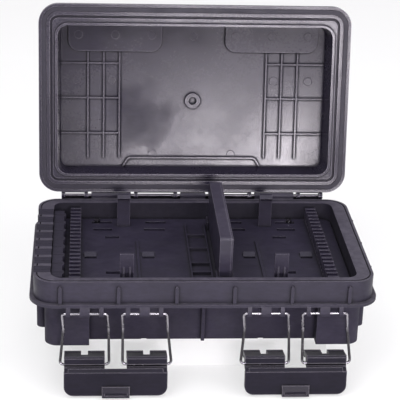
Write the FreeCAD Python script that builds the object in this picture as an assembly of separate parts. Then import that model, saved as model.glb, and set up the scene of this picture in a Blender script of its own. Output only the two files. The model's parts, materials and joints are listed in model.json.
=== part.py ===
import FreeCAD, Part
import math
import os

# Fibre splitter box with an open lid and two wire-bail latches.
# Millimetres, +Z up, origin at the centre of the base's underside, -Y towards the latches.

V = FreeCAD.Vector

# Outline of the joint between base and lid
rim_w = 320.0
rim_d = 195.0
rim_z = 71.5
rim_r = 20.0
band_x = 16.0
band_y = 9.5

# Base
wall = 3.0
floor_t = 3.0
flange_out = 4.0
flange_t = 3.0
flange_z = 46.5
foot_in = 10.0
foot_r = 12.0
recess_half = rim_w / 2.0 - 52.0
recess_in = 12.0
bulge_out = 8.0
bulge_half = rim_d / 2.0 - 35.5
bulge_z = 6.0
groove_w = 1.4
groove_h = 1.6
groove_in = 2.4
rib_w = 3.2
rib_out = 2.6
rib_h = 16.0
rib_count = 6
rib_pitch = (rim_w - 50.0) / (rib_count - 1)
side_ribs = (-54.0, 0.0, 54.0)
notch_r = 2.6
notch_x = 56.0
mount_x = 220.0
mount_y = 100.0
mount_hole_r = 2.1
mount_boss_r = 5.0
mount_boss_h = 12.0

# Cable ports in the left wall
port_count = 8
port_pitch = (rim_d - 62.0) / (port_count - 1)
port_w = 14.0
port_depth = 18.0
port_gap = 0.15
port_hole_r = 2.6
seal_w = 12.0
seal_drop = 3.2
seal_h = 13.0

# Tray and what it carries
tray_top = 53.5
tray_t = 2.5
tray_gap = 0.8
ledge = 4.5
slot_d = 5.4
tray_slots = ((0.665, 0.89, 20.5), (0.66, 0.688, 19.0), (0.594, 0.47, 14.0), (0.594, -0.464, 14.0),
              (0.276, 0.89, 21.0), (0.29, 0.688, 21.0))
tongue_at = (0.747, 0.349)
tongue_w = 12.0
tongue_y = -5.5
bar_at = 0.419
strip_half = 9.7
strip_h = 3.2
strip_bars = (-0.734, -0.528, -0.298, 0.092, 0.459)
comb_in = 22.25
comb_x = rim_w / 2.0 - band_x - comb_in
comb_w = 10.5
comb_teeth = 20
comb_pitch = (rim_d - 2 * band_y - 16.4) / (comb_teeth - 1)
comb_tooth_t = 2.8
comb_base_t = 3.0
comb_drop = 3.0
clip_x = rim_w / 2.0 - 87.0
clip_front = rim_d / 2.0 - 24.5
clip_rear = rim_d / 2.0 - 26.5
clip_w = 13.0
clip_t = 3.0
clip_h = 35.0
clip_lip = 3.0
clip_rib = 1.6
screw_r = 1.5
screw_head_r = 3.0
screw_head_h = 1.8
screw_x = rim_w / 2.0 - 60.0
screw_y = rim_d / 2.0 - band_y - 7.5
screw_boss_r = 3.6
screw_gap = 0.15

# Splitter cassette standing on the tray
cas_x = 20.5
cas_t = 12.4
cas_len = rim_d - 56.0
cas_y = 1.0
cas_top = 102.5
cas_wall = 1.8
cas_cover_t = 1.8
rail_t = 2.0
rail_h = 9.0
rail_len = 14.0
rail_gap = 0.15
chip_len = 60.0
chip_h = 7.0
chip_t = 4.0

# Hinge
rod_r = 1.6
hinge_y = rim_d / 2.0 + 4.0
hinge_z = rim_z + 2.5
barrel_r = 3.4
run_gap = 0.06
rod_half = rim_w / 2.0 - 23.0
barrel_at = rim_w / 2.0 - 74.5
barrel_side = 41.0
barrel_mid = 26.0
fork_gap = 3.5
fork_t = 3.7
trough_t = 2.0
trough_gap = 0.7
lid_open = 99.7

# Lid, drawn closed and then turned open about the hinge rod
lid_gap = 0.6
lid_flange_t = 7.4
lid_h = 38.0
lid_wall = 3.0
lid_roof_t = 3.0
lid_in_x = rim_w / 2.0 - 19.1
lid_in_y = rim_d / 2.0 - 21.5
lid_in_back = rim_d / 2.0 - 19.3
lid_in_r = 11.0
lid_draft = 2.2
lid_draft_back = 0.4
lid_lip_h = 1.6
lid_lip_w = 2.4
gasket_in = 3.2
gasket_w = 4.6
gasket_h = 4.4
gasket_proud = 0.4
bead_in = 11.6
bead_w = 2.6
bead_h = 1.3
pad_x = rim_w / 2.0 - 78.3
pad_w = 97.0
pad_d = 28.0
pad_drop = 5.0
pad_r = 11.0
lid_rib_t = 1.5
lid_rib_h = 2.0
lid_rib_x = (lid_in_x - 63.9, lid_in_x - 47.5, lid_in_x - 30.9)
lid_rib_y = (-0.431 * lid_in_y, 0.051 * lid_in_y, 0.545 * lid_in_y)
lid_rib_back = lid_in_back - 10.2
trap_top = lid_in_x - 73.4
trap_bottom = lid_in_x - 65.4
trap_d = 12.6
trap_r = 6.0
boss_y = 6.3
boss_r = 8.0
boss_hole_r = 4.2
boss_h = 3.2
mark_r = 4.2
mark_h = 0.35

# Latches
latch_x = rim_w / 2.0 - 75.5
bail_x = 27.7
bail_half = 21.0
bail_low = 23.1
bail_spread = 1.7
wire_r = 1.3
bail_y = -rim_d / 2.0 - 3.5
bail_z = flange_z - 6.0
bail_len = 53.2
kink_len = 20.0
kink_deg = 22.0
bend_r = 3.2
bail_turn = 178.0
lean_left = 1.5
lean_right = 3.0
lean_kink = 0.85
knuckle_r = 3.1
knuckle_mid = 9.4
knuckle_side = 4.0
knuckle_at = 15.4
lever_w = 97.5
arm_end = 0.8
arm_top = 8.6
arm_back = 4.2
arm_face = 2.8
hook_t = 3.0
toe_front = 15.0
toe_t = 3.6
toe_top = 4.2
toe_down = -2.2
ramp_top = 3.4
crease = 5.2
plate_in = 5.0
plate_flare = 2.4
plate_t = 3.0
plate_end = 28.4
plate_r = 9.0
tab_half = 13.0
tab_end = 29.0
tab_out = 3.4
tab_h = 9.0
notch_w = 6.4
notch_d = 13.0
mouth = 1.0
ridge_r = 0.8
tab_pocket = 1.0

# Keepers on the lid that the hooks bite behind
keep_in = 1.3
keep_t = 3.6
keep_h = 5.0
keep_half = 47.0
keep_rib_t = 3.0
keep_ribs = (-45.5, -22.0, 0.0, 22.0, 45.5)
keep_clear = 1.0


def box(x0, x1, y0, y1, z0, z1):
    return Part.makeBox(x1 - x0, y1 - y0, z1 - z0, V(x0, y0, z0))


def cyl_x(x0, x1, y, z, r):
    return Part.makeCylinder(r, x1 - x0, V(x0, y, z), V(1, 0, 0))


def cyl_z(x, y, z0, z1, r):
    return Part.makeCylinder(r, z1 - z0, V(x, y, z0), V(0, 0, 1))


def outline(w, d, r, z, cx=0.0, cy=0.0):
    """Closed wire of a rectangle with round corners."""
    a = w / 2.0
    b = d / 2.0
    k = r * (1.0 - math.sqrt(0.5))
    edges = []
    corners = ((a, b, 1, 1), (-a, b, -1, 1), (-a, -b, -1, -1), (a, -b, 1, -1))
    arcs = []
    for x, y, sx, sy in corners:
        p = V(cx + x, cy + y - sy * r, z)
        q = V(cx + x - sx * r, cy + y, z)
        m = V(cx + x - sx * k, cy + y - sy * k, z)
        if sx * sy > 0:
            arcs.append((p, m, q))
        else:
            arcs.append((q, m, p))
    for i, (p, m, q) in enumerate(arcs):
        edges.append(Part.Arc(p, m, q).toShape())
        nxt = arcs[(i + 1) % 4][0]
        if q.distanceToPoint(nxt) > 1e-6:
            edges.append(Part.LineSegment(q, nxt).toShape())
    return Part.Wire(Part.__sortEdges__(edges))


def slab(w, d, r, z0, z1, cx=0.0, cy=0.0):
    return Part.Face(outline(w, d, r, z0, cx, cy)).extrude(V(0, 0, z1 - z0))


def taper(w, y0, y1, r, z0, z1, draw, draw_back):
    """Round-cornered block from y0 to y1 that narrows from z0 to z1, at its back by draw_back."""
    y2 = y0 + draw
    y3 = y1 - draw_back
    low = outline(w, y1 - y0, r, z0, 0.0, (y0 + y1) / 2.0)
    high = outline(w - 2 * draw, y3 - y2, max(r - draw, 1.0), z1, 0.0, (y2 + y3) / 2.0)
    return Part.makeLoft([low, high], True, True)


def ring(w, d, r, t, z0, z1, cy=0.0):
    return slab(w, d, r, z0, z1, 0.0, cy).cut(slab(w - 2 * t, d - 2 * t, r - t, z0 - 1, z1 + 1, 0.0, cy))


def prism_x(points, x0, x1):
    """Extrudes a polygon given as (y, z) pairs along X."""
    pts = [V(x0, y, z) for y, z in points]
    face = Part.Face(Part.makePolygon(pts + [pts[0]]))
    return face.extrude(V(x1 - x0, 0, 0))


def fuse_all(shapes):
    first = shapes[0]
    return first.multiFuse(shapes[1:]) if len(shapes) > 1 else first


def turned(shape, y, z, deg):
    s = shape.copy()
    s.rotate(V(0, y, z), V(1, 0, 0), deg)
    return s


def save(shape, name):
    shape.exportStep("parts/" + name + ".step")


def port_centres():
    first = -(port_count - 1) / 2.0 * port_pitch - 3.0
    return [first + i * port_pitch for i in range(port_count)]


def knuckle_spans(cx):
    half = knuckle_side / 2.0
    spans = [(cx - knuckle_mid / 2.0, cx + knuckle_mid / 2.0)]
    for s in (-1, 1):
        spans.append((cx + s * knuckle_at - half, cx + s * knuckle_at + half))
    return spans


def top_edges(shape, long, z):
    """Edges of the given length along X that lie above z."""
    return [e for e in shape.Edges if abs(e.BoundBox.XLength - long) < 1e-6 and e.BoundBox.ZMin > z]


def barrel_spans():
    half = barrel_side / 2.0
    return [(-barrel_at - half, -barrel_at + half), (-barrel_mid / 2.0, barrel_mid / 2.0),
            (barrel_at - half, barrel_at + half)]


def fork_spans():
    """Lid forks fill the rod between and beside the base's barrels."""
    ends = [-rod_half - fork_gap] + [x for span in barrel_spans() for x in span] + [rod_half + fork_gap]
    return [(ends[i] + fork_gap, ends[i + 1] - fork_gap) for i in range(0, len(ends), 2)]


def bail_centres():
    return [side * latch_x + s * bail_x for side in (-1, 1) for s in (-1, 1)]


def rib(x, y, dx, dy):
    """Upright rib with a round head on the wall above the flange."""
    z0 = flange_z + flange_t
    if dy:
        y1 = y + dy * rib_out
        post = box(x - rib_w / 2, x + rib_w / 2, min(y - dy, y1), max(y - dy, y1), z0, z0 + rib_h)
        head = Part.makeCylinder(rib_w / 2, rib_out + 1, V(x, y - dy, z0 + rib_h), V(0, dy, 0))
    else:
        x1 = x + dx * rib_out
        post = box(min(x - dx, x1), max(x - dx, x1), y - rib_w / 2, y + rib_w / 2, z0, z0 + rib_h)
        head = Part.makeCylinder(rib_w / 2, rib_out + 1, V(x - dx, y, z0 + rib_h), V(dx, 0, 0))
    return post.fuse(head)


def make_base():
    foot_w = rim_w - 2 * foot_in
    foot_d = rim_d - 2 * foot_in
    top_low = flange_z + flange_t
    body = slab(foot_w, foot_d, foot_r, 0, top_low)
    bulge = slab(foot_w + 2 * bulge_out, 2 * bulge_half, 6.0, bulge_z, top_low)
    upper = slab(rim_w, rim_d, rim_r, flange_z, rim_z)
    flange = slab(rim_w + 2 * flange_out, rim_d + 2 * flange_out, rim_r + flange_out, flange_z, top_low)
    solid = fuse_all([body, bulge, upper, flange])

    # Front wall set back under the flange, between the corner feet
    y_foot = -foot_d / 2.0
    y_recess = y_foot + recess_in
    solid = solid.cut(box(-recess_half, recess_half, y_foot - 1, y_recess, -1, flange_z))

    # Storage bay below the tray and the opening above it
    bay = slab(foot_w - 2 * wall, foot_d - 2 * wall, foot_r - wall, floor_t, tray_top)
    bay = bay.cut(box(-recess_half - wall, recess_half + wall, y_foot, y_recess + wall, 0,
                      flange_z + flange_t))
    side_bay = slab(foot_w + 2 * bulge_out - 2 * wall, 2 * bulge_half - 2 * wall, 3.0, bulge_z + wall,
                    flange_z)
    solid = solid.cut(bay).cut(side_bay)
    mouth_w = rim_w - 2 * band_x
    mouth_d = rim_d - 2 * band_y
    tray_seat = tray_top - tray_t
    solid = solid.cut(slab(mouth_w, mouth_d, rim_r - band_y, tray_seat, rim_z + 1))

    # Seat for the tray along the front and rear walls
    y_in = mouth_d / 2.0
    for s in (-1, 1):
        y0 = min(s * (y_in + 1), s * (y_in - ledge))
        y1 = max(s * (y_in + 1), s * (y_in - ledge))
        seat = box(-mouth_w / 2 + 6, mouth_w / 2 - 6, y0, y1, tray_seat - 4, tray_seat)
        solid = solid.fuse(seat)
    bosses = []
    for sx in (-1, 1):
        for sy in (-1, 1):
            bosses.append(cyl_z(sx * screw_x, sy * screw_y, tray_seat - 10, tray_seat, screw_boss_r))
    solid = solid.multiFuse(bosses)
    for sx in (-1, 1):
        for sy in (-1, 1):
            solid = solid.cut(cyl_z(sx * screw_x, sy * screw_y, tray_seat - 8, tray_seat + 1, screw_r))

    # Seal groove around the joint face
    g = rim_w - 2 * groove_in
    solid = solid.cut(ring(g, rim_d - 2 * groove_in, rim_r - groove_in, groove_w, rim_z - groove_h,
                           rim_z + 1))

    # Ribs on the upper wall
    ribs = []
    for i in range(rib_count):
        x = (i - (rib_count - 1) / 2.0) * rib_pitch
        ribs.append(rib(x, -rim_d / 2, 0, -1))
    for y in side_ribs:
        ribs.append(rib(rim_w / 2, y, 1, 0))
    solid = solid.multiFuse(ribs)

    # Centre rib and gate notches on the set-back wall
    solid = solid.fuse(box(-rib_w / 2, rib_w / 2, y_recess - 4, y_recess + 1, 0, flange_z))
    for s in (-1, 1):
        c = Part.makeCylinder(notch_r, 2.2, V(s * notch_x, y_recess - 1, 0), V(0, 1, 0))
        solid = solid.cut(c)

    # Hinge barrels on webs behind the rear wall
    for x0, x1 in barrel_spans():
        web = prism_x([(rim_d / 2 - 1, rim_z - 22), (rim_d / 2 - 1, rim_z), (rim_d / 2 + lid_gap, rim_z),
                       (hinge_y - barrel_r + 0.4, hinge_z), (hinge_y + 1.5, hinge_z - 3.4),
                       (rim_d / 2 + 1.5, rim_z - 20)], x0, x1)
        solid = solid.fuse(web.fuse(cyl_x(x0, x1, hinge_y, hinge_z, barrel_r)))
    # Trough under and behind the hinge rod
    ty = hinge_y + barrel_r + trough_gap
    tz = hinge_z - barrel_r - trough_gap
    trough = prism_x([(rim_d / 2 - 1, tz - 12), (rim_d / 2 - 1, tz), (ty, tz), (ty, hinge_z - 1.6),
                      (ty + trough_t, hinge_z - 1.6), (ty + trough_t, tz - 3)], -rod_half, rod_half)
    solid = solid.fuse(trough)
    solid = solid.cut(cyl_x(-rod_half - 2, rod_half + 2, hinge_y, hinge_z, rod_r + run_gap))

    # Knuckles under the flange for the wire bails
    for cx in bail_centres():
        for x0, x1 in knuckle_spans(cx):
            eye = cyl_x(x0, x1, bail_y, bail_z, knuckle_r)
            neck = prism_x([(bail_y - 0.4, flange_z + 1), (bail_y - knuckle_r, bail_z),
                            (bail_y + knuckle_r, bail_z),
                            (bail_y + knuckle_r + 4, flange_z + 1)], x0, x1)
            solid = solid.fuse(neck.fuse(eye))
    for cx in bail_centres():
        solid = solid.cut(cyl_x(cx - bail_half, cx + bail_half, bail_y, bail_z, wire_r + run_gap))

    # Notches for the cable grommets in the left wall
    x_out = -rim_w / 2
    for y in port_centres():
        cut = box(x_out - 1, x_out + band_x + 1, y - port_w / 2, y + port_w / 2,
                  rim_z - port_depth + port_w / 2, rim_z + 1)
        low = cyl_x(x_out - 1, x_out + band_x + 1, y, rim_z - port_depth + port_w / 2, port_w / 2)
        solid = solid.cut(cut.fuse(low))

    # Screw bosses for a wall bracket in the floor
    for sx in (-1, 1):
        for sy in (-1, 1):
            x = sx * mount_x / 2
            y = sy * mount_y / 2
            solid = solid.fuse(cyl_z(x, y, floor_t - 1, mount_boss_h, mount_boss_r))
            solid = solid.cut(cyl_z(x, y, -1, mount_boss_h - 2.5, mount_hole_r))
    return solid.removeSplitter()


def make_grommets():
    x0 = -rim_w / 2 + 0.6
    x1 = -rim_w / 2 + band_x - 0.4
    half = port_w / 2 - port_gap
    zc = rim_z - port_depth + port_w / 2
    out = []
    for y in port_centres():
        g = box(x0, x1, y - half, y + half, zc, rim_z - 0.2).fuse(cyl_x(x0, x1, y, zc, half))
        g = g.cut(cyl_x(x0 - 1, x1 + 1, y, zc + 1.0, port_hole_r))
        g = g.cut(box(x0 - 1, x1 + 1, y - 0.25, y + 0.25, zc + 1.0, rim_z + 1))
        out.append(g)
    return Part.makeCompound(out)


def make_seal_strip():
    x0 = -rim_w / 2 + band_x + 0.4
    x1 = x0 + seal_w
    ys = port_centres()
    y0 = ys[0] - port_pitch / 2
    y1 = ys[-1] + port_pitch / 2
    z1 = rim_z - seal_drop
    s = box(x0, x1 - 2.0, y0, y1, tray_top, z1)
    bumps = [cyl_z(x1 - 6.0, y, tray_top, z1, 6.0) for y in ys]
    s = s.multiFuse(bumps)
    for y in ys:
        s = s.cut(box(x0 - 1, x1 + 1, y - 0.3, y + 0.3, z1 - seal_h + 4, z1 + 1))
    return s.removeSplitter()


def make_tray():
    w = rim_w - 2 * band_x - 2 * tray_gap
    d = rim_d - 2 * band_y - 2 * tray_gap
    z0 = tray_top - tray_t
    t = slab(w, d, rim_r - band_y - tray_gap, z0, tray_top)
    holes = []
    for s in (-1, 1):
        for at_x, at_y, long in tray_slots:
            x = s * at_x * w / 2
            y = at_y * d / 2
            holes.append(box(x - long / 2, x + long / 2, y - slot_d / 2, y + slot_d / 2, z0 - 1,
                             tray_top + 1))
        for at_x in tongue_at:
            x = s * at_x * w / 2
            holes.append(box(x - tongue_w / 2, x + tongue_w / 2, tongue_y - 3.5, tongue_y, z0 - 1,
                             tray_top + 1))
    for h in holes:
        t = t.cut(h)
    for sx in (-1, 1):
        for sy in (-1, 1):
            t = t.cut(cyl_z(sx * screw_x, sy * screw_y, z0 - 1, tray_top + 1, screw_r + screw_gap))
    # Raised tongues beside the cable-tie slots and stiffening bars between them
    adds = []
    for s in (-1, 1):
        for at_x in tongue_at:
            x = s * at_x * w / 2
            adds.append(prism_x([(tongue_y, tray_top - 0.5), (tongue_y, tray_top + 0.6),
                                 (tongue_y + 7, tray_top + 2.6),
                                 (tongue_y + 7, tray_top - 0.5)], x - tongue_w / 2, x + tongue_w / 2))
        x = s * bar_at * w / 2
        adds.append(box(x - 1.2, x + 1.2, -0.69 * d / 2, 0.34 * d / 2, tray_top - 0.5, tray_top + 1.6))
    for at_y in strip_bars:
        y = at_y * d / 2
        adds.append(box(-strip_half, strip_half, y, y + 2.6, tray_top - 0.5, tray_top + strip_h))
    for x in (-strip_half, strip_half):
        adds.append(box(x - 0.7, x + 0.7, -0.78 * d / 2, 0.8 * d / 2, tray_top - 0.5, tray_top + strip_h))
    t = t.multiFuse(adds)
    return t.removeSplitter()


def make_screws():
    out = []
    z0 = tray_top - tray_t
    for sx in (-1, 1):
        for sy in (-1, 1):
            x = sx * screw_x
            y = sy * screw_y
            shank = cyl_z(x, y, z0 - 7, tray_top + 0.5, screw_r - 0.02)
            head = cyl_z(x, y, tray_top, tray_top + screw_head_h, screw_head_r)
            cross = box(x - 1.6, x + 1.6, y - 0.35, y + 0.35, tray_top + 0.7, tray_top + 3)
            cross = cross.fuse(box(x - 0.35, x + 0.35, y - 1.6, y + 1.6, tray_top + 0.7, tray_top + 3))
            out.append(shank.fuse(head).cut(cross))
    return Part.makeCompound(out)


def make_comb(side):
    x0 = side * comb_x - comb_w / 2
    x1 = side * comb_x + comb_w / 2
    run = (comb_teeth - 1) * comb_pitch
    z1 = rim_z - comb_drop
    parts = [box(x0, x1, -run / 2 - 4, run / 2 + 4, tray_top, tray_top + comb_base_t)]
    for i in range(comb_teeth):
        y = -run / 2 + i * comb_pitch
        parts.append(box(x0, x1, y - comb_tooth_t / 2, y + comb_tooth_t / 2, tray_top + 1, z1))
    c = fuse_all(parts)
    return c.removeSplitter()


def make_clip(x, y, face):
    """Snap post: a blade with a lip at its head and two ribs on its foot; face is the side of the ribs."""
    z1 = tray_top + clip_h
    f = face
    blade = prism_x([(y - f * 0, tray_top), (y + f * clip_t, tray_top), (y + f * clip_t, z1 - 6),
                     (y + f * (clip_t + clip_lip), z1 - 3), (y + f * clip_t, z1), (y, z1)],
                     x - clip_w / 2, x + clip_w / 2)
    parts = [blade]
    for s in (-1, 1):
        xc = x + s * clip_w * 0.23
        parts.append(prism_x([(y - f * 4.4, tray_top), (y + f * 0.5, tray_top),
                              (y + f * 0.5, tray_top + 22),
                              (y, tray_top + 22)], xc - clip_rib / 2, xc + clip_rib / 2))
    return fuse_all(parts).removeSplitter()


def make_cassette():
    y0 = cas_y - cas_len / 2
    y1 = cas_y + cas_len / 2
    x0 = cas_x - cas_t / 2
    x1 = cas_x + cas_t / 2
    xs = x1 - cas_cover_t
    body = box(x0, xs, y0, y1, tray_top, cas_top)
    body = body.makeFillet(2.0, top_edges(body, xs - x0, cas_top - 1))
    hollow = box(x0 + cas_wall, xs + 1, y0 + cas_wall, y1 - cas_wall, tray_top + cas_wall,
                 cas_top - cas_wall)
    body = body.cut(hollow)
    for z in (tray_top + 16, tray_top + 24, tray_top + 32):
        body = body.cut(box(x0 + 3.2, x0 + 7.2, y1 - 4, y1 + 1, z, z + 4))
    cover = box(xs, x1, y0, y1, tray_top, cas_top)
    cover = cover.makeFillet(2.0, top_edges(cover, cas_cover_t, cas_top - 1))
    lip = box(xs - 1.4, xs, y0 + cas_wall + 0.15, y1 - cas_wall - 0.15, cas_top - cas_wall - 1.8,
              cas_top - cas_wall - 0.15)
    cover = cover.fuse(lip).removeSplitter()
    zc = tray_top + 26
    cx = x0 + cas_wall
    chip = box(cx, cx + chip_t, cas_y - chip_len / 2, cas_y + chip_len / 2, zc - chip_h / 2,
               zc + chip_h / 2)
    chip = chip.makeFillet(0.8, [e for e in chip.Edges if e.BoundBox.YLength > chip_len - 1])
    return body, cover, chip


def make_rails():
    """Four corner sockets that hold the cassette upright on the tray."""
    out = []
    x0 = cas_x - cas_t / 2 - rail_gap
    x1 = cas_x + cas_t / 2 + rail_gap
    for s in (-1, 1):
        ye = cas_y + s * (cas_len / 2 + rail_gap)
        yi = ye - s * rail_len
        lo = min(ye + s * rail_t, yi)
        hi = max(ye + s * rail_t, yi)
        cup = box(x0 - rail_t, x1 + rail_t, lo, hi, tray_top, tray_top + rail_h)
        cut_lo = min(ye, yi - s * 1)
        cut_hi = max(ye, yi - s * 1)
        out.append(cup.cut(box(x0, x1, cut_lo, cut_hi, tray_top - 1, tray_top + rail_h + 1)))
    return Part.makeCompound(out)


def closed_pivot():
    a = math.radians(180.0 - bail_turn)
    return bail_y - bail_len * math.sin(a), bail_z + bail_len * math.cos(a)


def make_lid():
    z0 = rim_z + lid_gap
    zf = z0 + lid_flange_t
    zt = rim_z + lid_h
    out_x = lid_in_x + lid_wall
    out_y = lid_in_y + lid_wall
    out_r = lid_in_r + lid_wall
    flange = slab(rim_w, rim_d, rim_r, z0, zf)
    out_back = lid_in_back + lid_wall
    dome = taper(2 * out_x, -out_y, out_back, out_r, z0 + 1, zt, lid_draft, lid_draft_back)
    dome = dome.makeFillet(4.0, [e for e in dome.Edges if e.BoundBox.ZMin > zt - 0.01])
    shell = flange.fuse(dome)
    roof_in = zt - lid_roof_t
    hollow = taper(2 * lid_in_x, -lid_in_y, lid_in_back, lid_in_r, z0 - 1, roof_in, lid_draft, lid_draft_back)
    hollow = hollow.makeFillet(1.2, [e for e in hollow.Edges if e.BoundBox.ZMin > roof_in - 0.01])
    shell = shell.cut(hollow)

    # Lip inside the joint, gasket groove and shallow bead around it
    lip_w = 2 * lid_in_x + 2 * lid_lip_w
    lip_d = lid_in_y + lid_in_back + 2 * lid_lip_w
    lip_y = (lid_in_back - lid_in_y) / 2.0
    lip = ring(lip_w, lip_d, lid_in_r + lid_lip_w, lid_lip_w, z0 - lid_lip_h, z0 + 0.5, lip_y)
    shell = shell.fuse(lip)
    gw = rim_w - 2 * gasket_in
    gd = rim_d - 2 * gasket_in
    shell = shell.cut(ring(gw, gd, rim_r - gasket_in, gasket_w, z0 - 1, z0 + gasket_h))
    bw = rim_w - 2 * bead_in
    bd = rim_d - 2 * bead_in
    shell = shell.cut(ring(bw, bd, max(rim_r - bead_in, 3.0), bead_w, z0 - 1, z0 + bead_h))

    # Latch pockets pressed into the front edge of the roof
    y_front = -(lid_in_y - lid_draft)
    wall_in = []
    pockets = []
    for s in (-1, 1):
        cx = s * pad_x
        yc = y_front + pad_d / 2 - 10
        deep = pad_d + 20
        wall_in.append(slab(pad_w, deep, pad_r, roof_in - pad_drop, zt, cx, yc))
        pockets.append(slab(pad_w - 2 * lid_wall, deep, pad_r - lid_wall, roof_in - pad_drop + lid_wall,
                            zt + 1, cx, yc - lid_wall))
    keep_inside = taper(2 * out_x, -out_y, out_back, out_r, z0 + 1, zt, lid_draft, lid_draft_back)
    pads = wall_in[0].fuse(wall_in[1]).common(keep_inside)
    shell = shell.fuse(pads)
    for p in pockets:
        shell = shell.cut(p)

    # Ribs, rear stiffener and centre boss on the inside of the roof
    adds = []
    zr = roof_in - lid_rib_h
    rib_y0 = y_front + pad_d - 2.7
    rib_y1 = lid_rib_back
    for s in (-1, 1):
        for x in lid_rib_x:
            adds.append(box(s * x - lid_rib_t / 2, s * x + lid_rib_t / 2, rib_y0, rib_y1, zr,
                            roof_in + 0.5))
        xe = lid_in_x - lid_draft + 0.6
        for y in lid_rib_y:
            xa = min(s * lid_rib_x[0], s * xe)
            xb = max(s * lid_rib_x[0], s * xe)
            adds.append(box(xa, xb, y - lid_rib_t / 2, y + lid_rib_t / 2, zr + 0.4, roof_in + 0.5))
    yr = lid_in_back + lid_rib_t
    trap = [V(-trap_top, yr - trap_d, zr), V(trap_top, yr - trap_d, zr),
            V(trap_bottom, yr, zr), V(-trap_bottom, yr, zr)]
    plate = Part.Face(Part.makePolygon(trap + [trap[0]])).extrude(V(0, 0, lid_rib_h + 0.5))
    front_corners = [e for e in plate.Edges if e.BoundBox.ZLength > 1 and e.BoundBox.YMax < yr - 1]
    plate = plate.makeFillet(trap_r, front_corners)
    face = [f for f in plate.Faces if f.BoundBox.ZMax < zr + 0.01][0]
    adds.append(plate.cut(face.makeOffset2D(-lid_rib_t).extrude(V(0, 0, lid_rib_h + 1))))
    adds.append(cyl_z(0, boss_y, roof_in - boss_h, roof_in + 0.5, boss_r))
    # Round ejector marks
    mark_y = y_front + 11.0
    z_pad = roof_in - pad_drop
    for s in (-1, 1):
        for dx in (-38.0, 0.0, 38.0):
            adds.append(cyl_z(s * pad_x + dx, mark_y, z_pad - mark_h, z_pad + 0.5, mark_r))
        for x in (lid_rib_x[1] - 8.2, lid_rib_x[2] + 12.0):
            adds.append(cyl_z(s * x, lid_rib_y[0] / 2 + 1.5, roof_in - mark_h, roof_in + 0.5, mark_r))
        adds.append(cyl_z(s * trap_top * 0.62, yr - trap_d - 3.0, roof_in - mark_h, roof_in + 0.5, mark_r))
    adds.append(cyl_z(0, mark_y + 1.5, roof_in - mark_h, roof_in + 0.5, mark_r))
    shell = shell.multiFuse(adds)
    shell = shell.cut(cyl_z(0, boss_y, roof_in - boss_h - 1, roof_in + 0.8, boss_hole_r))

    # Keepers in front of the dome: a bar on upright ribs
    py, pz = closed_pivot()
    bar_y1 = py + toe_front - keep_in
    bar_y0 = bar_y1 - keep_t
    bar_z1 = pz + toe_top - hook_t - keep_clear
    bar_z0 = bar_z1 - keep_h
    for s in (-1, 1):
        cx = s * latch_x
        parts = [box(cx - keep_half, cx + keep_half, bar_y0, bar_y1, bar_z0, bar_z1)]
        for dx in keep_ribs:
            parts.append(prism_x([(bar_y0, zf - 1), (bar_y0, bar_z0 + 1), (bar_y1, bar_z0 + 1),
                                  (bar_y1 + 1.0, bar_z0 - 3),
                                  (-out_y + lid_draft, bar_z0 - 6), (-out_y + 1, zf - 1)],
                                 cx + dx - keep_rib_t / 2, cx + dx + keep_rib_t / 2))
        shell = shell.fuse(fuse_all(parts))

    # Stiffening ribs on the outside of the roof
    outer = []
    for i in range(5):
        x = (i - 2) * rim_w / 6.0
        outer.append(box(x - 1.5, x + 1.5, -lid_in_y + 38, lid_in_y - 10, zt - 0.5, zt + 1.6))
    shell = shell.multiFuse(outer)

    # Hinge forks: a strip along the rear edge and a round eye at each end
    yb = rim_d / 2
    for x0, x1 in fork_spans():
        strip = box(x0, x1, yb - 1, hinge_y - rod_r - 0.6, zf - 3.4, zf)
        shell = shell.fuse(strip)
        for xa in (x0, x1 - fork_t):
            eye = cyl_x(xa, xa + fork_t, hinge_y, hinge_z, barrel_r)
            neck = prism_x([(yb - 1, z0 + 2.4), (yb - 1, zf), (hinge_y - 1, zf),
                            (hinge_y + barrel_r - 0.5, hinge_z + 1.5),
                            (hinge_y, hinge_z), (hinge_y - barrel_r + 0.3, hinge_z - 1.0)], xa,
                            xa + fork_t)
            shell = shell.fuse(eye.fuse(neck))
    shell = shell.cut(cyl_x(-rod_half - 2, rod_half + 2, hinge_y, hinge_z, rod_r + run_gap))
    shell = shell.removeSplitter()

    z_g = z0 + gasket_h
    gasket = ring(gw - 0.3, gd - 0.3, rim_r - gasket_in - 0.15, gasket_w - 0.3, z0 - gasket_proud, z_g)
    return turned(shell, hinge_y, hinge_z, -lid_open), turned(gasket, hinge_y, hinge_z, -lid_open)


def bent_wire(points, bend, r):
    """Closed round wire: straight runs joined by round bends."""
    n = len(points)
    bends = []
    for i in range(n):
        p = points[i]
        a = points[i - 1].sub(p).normalize()
        b = points[(i + 1) % n].sub(p).normalize()
        half = math.acos(max(-1.0, min(1.0, a.dot(b)))) / 2.0
        t = bend / math.tan(half)
        start = p.add(V(a).multiply(t))
        centre = p.add(a.add(b).normalize().multiply(bend / math.sin(half)))
        bends.append((start, V(a).multiply(-1), centre, b.cross(a), 180.0 - 2 * math.degrees(half),
                      p.add(V(b).multiply(t))))
    solids = []
    for i in range(n):
        start, along, centre, axis, turn, end = bends[i]
        disc = Part.Face(Part.Wire([Part.Circle(start, along, r).toShape()]))
        solids.append(disc.revolve(centre, axis, turn))
        run = bends[(i + 1) % n][0].sub(end)
        solids.append(Part.makeCylinder(r, run.Length, end, run))
    return fuse_all(solids)


def bail_kink():
    a = math.radians(kink_deg)
    return bail_y + kink_len * math.sin(a), bail_z - kink_len * math.cos(a)


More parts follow.
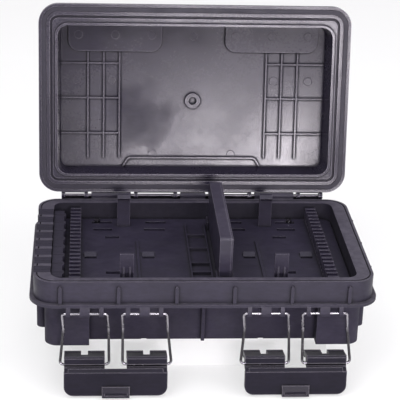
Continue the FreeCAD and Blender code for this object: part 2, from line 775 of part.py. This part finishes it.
def make_bail(cx, lean, spread):
    """Wire loop whose lower legs splay a little and lean to the side as it hangs."""
    ky, kz = bail_kink()
    py = bail_y
    pz = bail_z - bail_len
    mid = cx + lean * lean_kink
    low = cx + lean + spread
    pts = [V(cx - bail_half, bail_y, bail_z), V(mid - bail_half, ky, kz), V(low - bail_low, py, pz),
           V(low + bail_low, py, pz), V(mid + bail_half, ky, kz), V(cx + bail_half, bail_y, bail_z)]
    return bent_wire(pts, bend_r, wire_r)


def make_lever(cx):
    """Lever hanging from the bail ends; the profile is drawn as (outward, up) from the wire."""
    py = bail_y
    pz = bail_z - bail_len

    def prof(pairs, x0, x1):
        return prism_x([(py - v, pz + u) for v, u in pairs], x0, x1)

    arm = [(arm_face, -ramp_top), (arm_face, arm_top - 1.6), (arm_face - 1.6, arm_top),
           (-toe_front - toe_t, toe_top),
           (-toe_front - toe_t, toe_down), (-toe_front, toe_down), (-toe_front + 0.6, toe_top - hook_t),
           (-arm_back - 1.5, toe_top - hook_t + 1.2), (-arm_back, toe_top - hook_t),
           (-arm_back, -ramp_top)]
    ramp = [(arm_face, -ramp_top + 1.0), (plate_in + plate_t, -crease), (plate_in + plate_t, -crease - 3),
            (plate_in, -crease - 3),
            (plate_in, -crease + 0.6), (-arm_back, -ramp_top + 0.4), (-arm_back, -ramp_top + 1.0)]
    half = lever_w / 2
    arm_half = bail_low - bend_r - arm_end
    parts = []
    for s in (-1, 1):
        xc = cx + s * (bail_x + bail_spread)
        xa = xc - arm_half
        xb = xc + arm_half
        a = prof(arm, xa, xb)
        y_toe = py + toe_front + toe_t
        share = 4.6 / (arm_face + toe_front + toe_t)
        a = a.fuse(cyl_x(xa, xb, y_toe - 4.6, pz + toe_top + share * (arm_top - toe_top), ridge_r))
        a = a.cut(box(xc - notch_w / 2, xc + notch_w / 2, y_toe - notch_d, y_toe + 1, pz + toe_down - 1,
                      pz + arm_top + 1))
        parts.append(a)
        parts.append(prof(ramp, xa, xb))
    bridge = [(plate_in + plate_t - 3.2, -crease + 3.0), (plate_in + plate_t, -crease),
              (plate_in + plate_t, -crease - 3),
              (plate_in, -crease - 3), (plate_in, -crease + 0.6), (plate_in - 1.2, -crease + 1.8)]
    parts.append(prof(bridge, cx - half + 4, cx + half - 4))
    z_a = pz - plate_end
    low_in = plate_in + plate_flare
    plate = prof([(plate_in, -crease), (plate_in + plate_t, -crease), (low_in + plate_t, -plate_end),
                  (low_in, -plate_end)],
                 cx - half, cx + half)
    low = [e for e in plate.Edges if e.BoundBox.XLength < 0.01 and e.BoundBox.ZMax < z_a + 0.01]
    plate = plate.makeFillet(plate_r, low)
    parts.append(plate)
    y_a = py - low_in - plate_t
    tab = prism_x([(y_a + plate_t, pz - tab_end), (y_a + plate_t, pz - tab_end + tab_h),
                   (y_a - 0.4, pz - tab_end + tab_h + 1.5),
                   (y_a - tab_out, pz - tab_end + 2.0), (y_a - tab_out, pz - tab_end)], cx - tab_half,
                   cx + tab_half)
    pocket = box(cx - tab_half + 2.5, cx + tab_half - 2.5, y_a - tab_out - 1, y_a - tab_out + tab_pocket,
                 pz - tab_end + 2.2, pz - tab_end + 5.4)
    parts.append(tab.cut(pocket))
    lever = fuse_all(parts)
    lever = lever.cut(cyl_x(cx - half - 5, cx + half + 5, py, pz, wire_r + run_gap))
    lever = lever.cut(box(cx - half - 5, cx + half + 5, py - arm_face - 1, py, pz - mouth, pz + mouth))
    return lever.removeSplitter()


os.makedirs("parts", exist_ok=True)
save(make_base(), "base_shell")
save(make_grommets(), "cable_grommets")
save(make_seal_strip(), "seal_strip")
save(make_tray(), "tray")
save(make_screws(), "tray_screws")
save(make_comb(-1), "left_comb")
save(make_comb(1), "right_comb")
front = [make_clip(s * clip_x, -clip_front, 1) for s in (-1, 1)]
rear = [make_clip(s * clip_x, clip_rear, -1) for s in (-1, 1)]
save(Part.makeCompound(front), "front_clips")
save(Part.makeCompound(rear), "rear_clips")
cassette_body, cassette_cover, splitter_chip = make_cassette()
save(cassette_body, "cassette_body")
save(cassette_cover, "cassette_cover")
save(splitter_chip, "splitter_chip")
save(make_rails(), "cassette_sockets")
save(cyl_x(-rod_half, rod_half, hinge_y, hinge_z, rod_r), "hinge_rod")
lid_shell, lid_gasket = make_lid()
save(lid_shell, "lid_shell")
save(lid_gasket, "lid_gasket")
for name, side, lean in (("left", -1, lean_left), ("right", 1, lean_right)):
    centre = side * latch_x
    wires = [make_bail(centre + s * bail_x, lean, s * bail_spread) for s in (-1, 1)]
    save(Part.makeCompound(wires), name + "_bails")
    save(make_lever(centre + lean), name + "_lever")
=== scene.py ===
import json

import bpy
from mathutils import Matrix, Vector


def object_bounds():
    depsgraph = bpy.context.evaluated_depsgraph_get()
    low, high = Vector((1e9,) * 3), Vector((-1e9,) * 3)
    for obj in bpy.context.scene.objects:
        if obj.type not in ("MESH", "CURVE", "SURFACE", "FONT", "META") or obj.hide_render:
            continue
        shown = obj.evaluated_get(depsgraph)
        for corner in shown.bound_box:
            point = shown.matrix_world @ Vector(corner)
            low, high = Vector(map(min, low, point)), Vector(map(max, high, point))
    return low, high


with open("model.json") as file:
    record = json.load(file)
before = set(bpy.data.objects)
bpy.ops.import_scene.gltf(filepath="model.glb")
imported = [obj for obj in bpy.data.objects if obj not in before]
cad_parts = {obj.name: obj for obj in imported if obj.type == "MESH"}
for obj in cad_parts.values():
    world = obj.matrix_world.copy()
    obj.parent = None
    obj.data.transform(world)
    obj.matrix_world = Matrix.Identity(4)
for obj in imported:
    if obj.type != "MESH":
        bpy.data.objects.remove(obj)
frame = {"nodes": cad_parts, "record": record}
cad_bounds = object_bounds()

# Lengths are in metres, in the part's own frame.
NOISE_RANGE = (0.3, 0.7)      # most of a noise texture lies between these
CLOUD_SCALE = 22.0            # noise scales, in waves for each metre
STREAK_SCALE = 330.0
MOTTLE_SCALE = 420.0
GRAIN_SCALE = 1400.0
FLAT_COS, EDGE_COS = 0.99, 0.86   # cosine between a face and its rounded normal
CHALK_AND_HIGHLIGHT = (1.0, 0.93, 1.06)     # tint of edge wear with painted highlight, and of dust with painted top light
CORNER_PAINTED_SHADE = 0.55            # share of the colour that an inner corner loses to painted shade
CORNER_DULL = 0.25            # roughness that an inner corner gains
GRAIN_HEIGHT = 0.0002
DRAW_LINE_HEIGHT = 0.0001
TIP_SHARE = 0.8               # share of the colour that the wire keeps at its tips, below its painted dark reflection


# Shader nodes

def new_material(name):
    m = bpy.data.materials.new(name)
    m.use_nodes = True
    nt = m.node_tree
    nt.nodes.clear()
    out = nt.nodes.new("ShaderNodeOutputMaterial")
    bsdf = nt.nodes.new("ShaderNodeBsdfPrincipled")
    nt.links.new(bsdf.outputs["BSDF"], out.inputs["Surface"])
    return m, nt, bsdf


def object_coords(nt):
    return nt.nodes.new("ShaderNodeTexCoord").outputs["Object"]


def feed(nt, socket, value):
    """Link a socket to another node's output, or set it to a number or a vector."""
    if isinstance(value, (float, tuple)):
        socket.default_value = value
    else:
        nt.links.new(value, socket)


def noise(nt, coord, scale, detail=3.0, rough=0.55, stretch=None):
    src = coord
    if stretch:
        mp = nt.nodes.new("ShaderNodeMapping")
        mp.inputs["Scale"].default_value = stretch
        nt.links.new(coord, mp.inputs["Vector"])
        src = mp.outputs["Vector"]
    n = nt.nodes.new("ShaderNodeTexNoise")
    n.inputs["Scale"].default_value = scale
    n.inputs["Detail"].default_value = detail
    n.inputs["Roughness"].default_value = rough
    nt.links.new(src, n.inputs["Vector"])
    return n.outputs["Fac"]


def remap(nt, value, lo, hi, a, b):
    r = nt.nodes.new("ShaderNodeMapRange")
    r.inputs["From Min"].default_value = lo
    r.inputs["From Max"].default_value = hi
    r.inputs["To Min"].default_value = a
    r.inputs["To Max"].default_value = b
    nt.links.new(value, r.inputs["Value"])
    return r.outputs["Result"]


def spread(nt, cloud, a, b):
    """A noise texture that runs from a to b."""
    return remap(nt, cloud, *NOISE_RANGE, a, b)


def mix_colour(nt, cloud, a, b):
    r = nt.nodes.new("ShaderNodeValToRGB")
    for element, place, colour in zip(r.color_ramp.elements, NOISE_RANGE, (a, b)):
        element.position = place
        element.color = (*colour, 1.0)
    nt.links.new(cloud, r.inputs["Fac"])
    return r.outputs["Color"]


def bump(nt, height, strength, distance, normal=None):
    b = nt.nodes.new("ShaderNodeBump")
    b.inputs["Strength"].default_value = strength
    b.inputs["Distance"].default_value = distance
    nt.links.new(height, b.inputs["Height"])
    if normal:
        nt.links.new(normal, b.inputs["Normal"])
    return b.outputs["Normal"]


def maths(nt, kind, *values):
    n = nt.nodes.new("ShaderNodeMath")
    n.operation = kind
    for socket, value in zip(n.inputs, values):
        feed(nt, socket, value)
    return n.outputs["Value"]


def vector_maths(nt, kind, *values):
    n = nt.nodes.new("ShaderNodeVectorMath")
    n.operation = kind
    for socket, value in zip(n.inputs, values):
        feed(nt, socket, value)
    return n.outputs["Value" if kind in ("DOT_PRODUCT", "DISTANCE") else "Vector"]


def scaled(nt, vector, factor):
    n = nt.nodes.new("ShaderNodeVectorMath")
    n.operation = "SCALE"
    feed(nt, n.inputs[0], vector)
    nt.links.new(factor, n.inputs["Scale"])
    return n.outputs["Vector"]


def axes(nt, vector):
    n = nt.nodes.new("ShaderNodeSeparateXYZ")
    nt.links.new(vector, n.inputs["Vector"])
    return n.outputs


def rounded(nt, radius):
    n = nt.nodes.new("ShaderNodeBevel")
    n.inputs["Radius"].default_value = radius
    return n.outputs["Normal"]


# Materials

def corner_shade_mask(nt, near, deep):
    """1 in inner corners and 0 in the open, from occlusion; it paints shade into corners."""
    n = nt.nodes.new("ShaderNodeAmbientOcclusion")
    n.samples = 8
    n.inputs["Distance"].default_value = near
    return remap(nt, n.outputs["AO"], *deep, 1.0, 0.0)


def dust_and_painted_top_light(nt, at, face, dust_and_top_light):
    """Patchy dust and painted top light on faces that look up."""
    dust_and_light = remap(nt, noise(nt, at, 160.0, 5.0), 0.35, 0.65, 0.5 * dust_and_top_light, dust_and_top_light)
    return maths(nt, "MULTIPLY", dust_and_light, remap(nt, axes(nt, face)["Z"], 0.8, 0.95, 0.0, 1.0))


def inside_mask(nt, at, half_x, half_y, mid_z, half_z):
    """1 within a box round the z axis."""
    place = axes(nt, at)
    mask = maths(nt, "COMPARE", place["Z"], mid_z, half_z)
    for axis, half in (("X", half_x), ("Y", half_y)):
        mask = maths(nt, "MULTIPLY", mask, maths(nt, "COMPARE", place[axis], 0.0, half))
    return mask


def flow_mark(nt, at, centre, inner, outer, duller):
    """Dull patch with a wavy edge, where the plastic was injected."""
    wave = spread(nt, noise(nt, at, 45.0, 3.0), -0.012, 0.012)
    reach = maths(nt, "ADD", vector_maths(nt, "DISTANCE", at, centre), wave)
    return remap(nt, reach, inner, outer, duller, 0.0)


def lifted(nt, normal, at, face, lean, axis, roof, rim, foot, foot_share):
    """Normal of a slightly crowned roof: its forward faces lean up, and fade out towards the rim's depth.
    The foot of the open lid's rim leans up by a share of that, and fades out between two heights."""
    crowned = remap(nt, vector_maths(nt, "DOT_PRODUCT", at, axis), roof, rim, 1.0, 0.0)
    crowned = maths(nt, "MAXIMUM", crowned, remap(nt, axes(nt, at)["Z"], *foot, foot_share, 0.0))
    forward = remap(nt, axes(nt, face)["Y"], -0.9, -0.7, lean, 0.0)
    rise = nt.nodes.new("ShaderNodeCombineXYZ")
    nt.links.new(maths(nt, "MULTIPLY", forward, crowned), rise.inputs["Z"])
    return vector_maths(nt, "NORMALIZE", vector_maths(nt, "ADD", normal, rise.outputs["Vector"]))


def moulded(name, dark, light, rough, grain, spec=0.5, edge=0.0006, line=0.0, edge_wear_and_highlight=0.026, dust_and_top_light=0.0,
            near=0.005, deep=(0.45, 0.92), dim=0.0, patch=60.0, low=None, flow=None, inside=None, crown=None):
    """Moulded plastic or rubber: cloudy colour, dusty streaks, uneven sheen, edges lightened by wear and
    painted highlight, and dull corners darkened by painted shade.

    dark, light, rough: ranges of colour and roughness; grain, spec: fine bump and reflection
    edge, line, edge_wear_and_highlight: radius of the edges, width and chalk of their wear and painted
    highlight; dust_and_top_light: dust and painted top light on top faces
    near, deep, dim: reach of inner corners, the depth of their painted shade and the reflection that they
    lose to it
    patch: scale of the sheen's clouds; low: two heights, and the roughness below them
    flow, inside, crown: a flow mark, an inside darkened by painted shade and made duller, a crowned roof
    """
    m, nt, bsdf = new_material(name)
    at = object_coords(nt)
    face = nt.nodes.new("ShaderNodeNewGeometry").outputs["True Normal"]
    normal = rounded(nt, edge)
    turn = vector_maths(nt, "DOT_PRODUCT", face, rounded(nt, line) if line else normal)
    on_edge = remap(nt, turn, FLAT_COS, EDGE_COS, 0.0, 1.0)
    corner = corner_shade_mask(nt, near, deep)
    outer = maths(nt, "MULTIPLY", on_edge, maths(nt, "SUBTRACT", 1.0, corner))

    # Colour
    colour = mix_colour(nt, noise(nt, at, CLOUD_SCALE, 4.0), dark, light)
    streak = spread(nt, noise(nt, at, STREAK_SCALE, 4.0, 0.6, (0.35, 1.0, 1.0)), 0.82, 1.2)
    # Painted shade: the colour darkens in inner corners.
    painted_shade = maths(nt, "SUBTRACT", 1.0, maths(nt, "MULTIPLY", corner, CORNER_PAINTED_SHADE))
    # Painted highlight on outer edges, which also stands for their wear.
    pale = maths(nt, "MULTIPLY", outer, edge_wear_and_highlight)
    # Dust and painted top light lighten faces that look up.
    if dust_and_top_light:
        pale = maths(nt, "ADD", pale, dust_and_painted_top_light(nt, at, face, dust_and_top_light))
    # Painted shade: the inside of the base is darker, where one is given.
    if inside:
        *room, inside_painted_shade, duller = inside
        within = inside_mask(nt, at, *room)
        shade = maths(nt, "SUBTRACT", 1.0, maths(nt, "MULTIPLY", within, inside_painted_shade))
        painted_shade = maths(nt, "MULTIPLY", painted_shade, shade)
    colour = scaled(nt, colour, maths(nt, "MULTIPLY", streak, painted_shade))
    colour = vector_maths(nt, "ADD", colour, scaled(nt, CHALK_AND_HIGHLIGHT, pale))
    nt.links.new(colour, bsdf.inputs["Base Color"])

    # Sheen
    sheen = spread(nt, noise(nt, at, patch, 5.0), *rough)
    sheen = maths(nt, "ADD", sheen, spread(nt, noise(nt, at, MOTTLE_SCALE, 3.0), -0.03, 0.03))
    sheen = maths(nt, "ADD", sheen, maths(nt, "MULTIPLY", corner, CORNER_DULL))
    if low:
        sheen = maths(nt, "ADD", sheen, remap(nt, axes(nt, at)["Z"], *low, 0.0))
    if flow:
        sheen = maths(nt, "ADD", sheen, flow_mark(nt, at, *flow))
    if inside:
        sheen = maths(nt, "ADD", sheen, maths(nt, "MULTIPLY", within, duller))
    nt.links.new(sheen, bsdf.inputs["Roughness"])
    bsdf.inputs["Specular IOR Level"].default_value = spec
    # Painted shade in the reflection: inner corners reflect less.
    if dim:
        level = maths(nt, "SUBTRACT", spec, maths(nt, "MULTIPLY", corner, dim))
        nt.links.new(level, bsdf.inputs["Specular IOR Level"])

    # Surface
    if crown:
        normal = lifted(nt, normal, at, face, *crown)
    fine = noise(nt, at, GRAIN_SCALE, 2.0)
    nt.links.new(bump(nt, fine, grain, GRAIN_HEIGHT, normal), bsdf.inputs["Normal"])
    return m


def drawn_steel(name, dark, light, rough, painted_dark_reflection=None):
    """Wire with faint draw lines along its length and a little dulling.

    painted_dark_reflection: two heights where a stretch darkened as painted reflection begins, two where it
    ends, and its share of the colour
    """
    m, nt, bsdf = new_material(name)
    at = object_coords(nt)
    dull = noise(nt, at, 90.0, 4.0)
    colour = mix_colour(nt, dull, dark, light)
    # Painted dark reflection: the lower legs of the bails are darker.
    if painted_dark_reflection:
        begins, ends, share = painted_dark_reflection
        z = axes(nt, at)["Z"]
        above = remap(nt, z, *ends, share, 1.0)
        below = remap(nt, z, *begins, TIP_SHARE, share)
        colour = scaled(nt, colour, maths(nt, "MAXIMUM", above, below))
    nt.links.new(colour, bsdf.inputs["Base Color"])
    bsdf.inputs["Metallic"].default_value = 1.0
    nt.links.new(spread(nt, dull, *rough), bsdf.inputs["Roughness"])
    lines = noise(nt, at, 900.0, 2.0, 0.5, (1.0, 1.0, 0.06))
    nt.links.new(bump(nt, lines, 0.12, DRAW_LINE_HEIGHT), bsdf.inputs["Normal"])
    return m


# Lower walls of the base: height of the full effect, height where it ends, roughness
MATT_BELOW = (0.036, 0.048, 0.3)
# Left of the lid's boss: centre, inner and outer radius, roughness
FLOW_MARK = ((-0.059, 0.140, 0.148), 0.010, 0.044, 0.26)
# Lean, way that the open lid faces, depths of roof and rim along it, heights of the rim's foot, its share
LID_CROWN = (0.085, (0.0, -0.9857, 0.1685), -0.112, -0.100, (0.088, 0.100), 0.7)
# From the tray to the rim, darkened as painted shade: half width, half depth, middle and half of the height,
# share of painted shade, roughness
BASE_INSIDE = (0.152, 0.092, 0.059, 0.0115, 0.4, 0.25)
# Lower legs of the bails, darkened as painted reflection: heights of the lower end, heights of the upper end,
# share of the colour left
WIRE_PAINTED_DARK_REFLECTION = ((-0.0112, -0.0085), (0.017, 0.025), 0.18)

looks = {
    "charcoal_plastic": moulded(
        "charcoal_plastic", (0.0158, 0.0126, 0.0262), (0.0234, 0.0190, 0.0372), (0.37, 0.60), 0.16, 0.40,
        line=0.0009, edge_wear_and_highlight=0.08, low=MATT_BELOW),
    "lid_plastic": moulded(
        "lid_plastic", (0.0142, 0.0110, 0.0240), (0.0212, 0.0170, 0.0340), (0.19, 0.33), 0.02, 0.5,
        line=0.0012, edge_wear_and_highlight=0.22, near=0.0029, deep=(0.68, 0.96), dim=0.36, patch=14.0,
        flow=FLOW_MARK, crown=LID_CROWN),
    # Darker than the charcoal plastic: painted shade on the levers that lie low by the floor.
    "latch_plastic": moulded(
        "latch_plastic", (0.0062, 0.0049, 0.0118), (0.0093, 0.0075, 0.0160), (0.30, 0.42), 0.10, 0.20,
        edge=0.0009, line=0.0014, edge_wear_and_highlight=0.15),
    "cassette_plastic": moulded(
        "cassette_plastic", (0.0236, 0.0198, 0.0360), (0.0318, 0.0272, 0.0460), (0.30, 0.42), 0.06, 0.45,
        line=0.0009, edge_wear_and_highlight=0.12, dust_and_top_light=0.018),
    "black_rubber": moulded(
        "black_rubber", (0.0135, 0.0112, 0.0220), (0.0195, 0.0162, 0.0305), (0.60, 0.74), 0.14, 0.35),
    "steel_wire": drawn_steel(
        "steel_wire", (0.30, 0.285, 0.32), (0.46, 0.44, 0.48), (0.16, 0.30), WIRE_PAINTED_DARK_REFLECTION),
}
own_looks = {
    "base_shell": moulded(
        "base_plastic", (0.0150, 0.0120, 0.0250), (0.0224, 0.0183, 0.0358), (0.37, 0.60), 0.16, 0.40,
        edge_wear_and_highlight=0.05, dust_and_top_light=0.048, low=MATT_BELOW, inside=BASE_INSIDE),
    "tray": moulded(
        "tray_plastic", (0.0150, 0.0122, 0.0256), (0.0222, 0.0182, 0.0358), (0.42, 0.55), 0.10, 0.45),
    "lid_gasket": moulded(
        "gasket_rubber", (0.0120, 0.0095, 0.0200), (0.0165, 0.0135, 0.0260), (0.42, 0.54), 0.10, 0.42),
    "hinge_rod": drawn_steel(
        "dull_steel", (0.09, 0.085, 0.10), (0.16, 0.15, 0.17), (0.28, 0.42)),
}
slot_of = {p["node"]: p["material_slot"] for p in frame["record"]["subparts"]}
for node, obj in frame["nodes"].items():
    obj.data.materials.clear()
    obj.data.materials.append(own_looks.get(node) or looks[slot_of[node]])


# Floor and the block that the box stands on

FLOOR_SIZE = 12.0
FLOOR_DROP = 0.002      # floor under the lowest lever tab
BLOCK_SIZE = (0.25, 0.13)
BLOCK_Y = 0.015
BLOCK_DROP = 0.0004     # gap between the block and the base
WHITE_SHARE = 0.5       # what is seen of the floor: this share plain white, the rest lit, with the shadow


def stage_material():
    m, nt, bsdf = new_material("pale_floor")
    cloud = noise(nt, object_coords(nt), 6.0, 3.0)
    nt.links.new(mix_colour(nt, cloud, (0.93, 0.93, 0.93), (0.95, 0.95, 0.95)), bsdf.inputs["Base Color"])
    bsdf.inputs["Roughness"].default_value = 0.9
    bsdf.inputs["Specular IOR Level"].default_value = 0.1
    path = nt.nodes.new("ShaderNodeLightPath")
    seen = maths(nt, "MAXIMUM", path.outputs["Is Camera Ray"], path.outputs["Is Glossy Ray"])
    seen = maths(nt, "MAXIMUM", seen, path.outputs["Is Transmission Ray"])
    white = nt.nodes.new("ShaderNodeEmission")
    both = nt.nodes.new("ShaderNodeMixShader")
    nt.links.new(maths(nt, "MULTIPLY", seen, WHITE_SHARE), both.inputs["Fac"])
    nt.links.new(bsdf.outputs["BSDF"], both.inputs[1])
    nt.links.new(white.outputs["Emission"], both.inputs[2])
    out = next(n for n in nt.nodes if n.type == "OUTPUT_MATERIAL")
    nt.links.new(both.outputs["Shader"], out.inputs["Surface"])
    return m


pale = stage_material()
low_z = cad_bounds[0][2] - FLOOR_DROP
bpy.ops.mesh.primitive_plane_add(size=FLOOR_SIZE, location=(0.0, 0.0, low_z))
floor = bpy.context.object
floor.name = "floor"
floor.data.materials.append(pale)
bpy.ops.mesh.primitive_cube_add(size=1.0, location=(0.0, BLOCK_Y, (low_z - BLOCK_DROP) / 2))
block = bpy.context.object
block.name = "block"
block.scale = (*BLOCK_SIZE, -low_z - BLOCK_DROP)
block.data.materials.append(pale)


# Light

def area(name, at, towards, size, power, colour=(1.0, 1.0, 1.0)):
    data = bpy.data.lights.new(name, "AREA")
    data.shape = "RECTANGLE"
    data.size, data.size_y = size
    data.energy = power
    data.color = colour
    lamp = bpy.data.objects.new(name, data)
    bpy.context.scene.collection.objects.link(lamp)
    lamp.location = at
    lamp.rotation_euler = (Vector(at) - Vector(towards)).to_track_quat("Z", "Y").to_euler()


area("key", (-1.0, -1.2, 1.7), (0.0, 0.0, 0.1), (1.4, 1.4), 21.5)
area("fill", (1.3, -1.0, 1.4), (0.0, 0.0, 0.1), (1.4, 1.4), 15.5)
area("top", (0.0, 0.2, 2.4), (0.0, 0.0, 0.0), (3.2, 3.2), 38.0)
# The small one that the inside of the lid mirrors
area("front", (0.20, -1.15, 0.265), (0.05, 0.13, 0.12), (0.42, 0.13), 6.0, (1.0, 0.94, 1.0))

world = bpy.data.worlds.new("studio")
bpy.context.scene.world = world
world.use_nodes = True
sky = world.node_tree.nodes["Background"]
sky.inputs["Color"].default_value = (0.97, 0.94, 1.0, 1.0)
sky.inputs["Strength"].default_value = 0.44


# Camera at the photograph's angle

cam_data = bpy.data.cameras.new("camera")
cam_data.sensor_width = 36.0
cam_data.lens = 132.02
cam = bpy.data.objects.new("camera", cam_data)
bpy.context.scene.collection.objects.link(cam)
cam.matrix_world = Matrix((
    (0.99712635, -0.0026999, -0.07570837, -0.10887),
    (-0.06848988, 0.39496507, -0.91613958, -1.31113),
    (0.03237565, 0.91869217, 0.39364516, 0.67564),
    (0.0, 0.0, 0.0, 1.0),
))
bpy.context.scene.camera = cam
bpy.context.scene.view_settings.view_transform = "Standard"
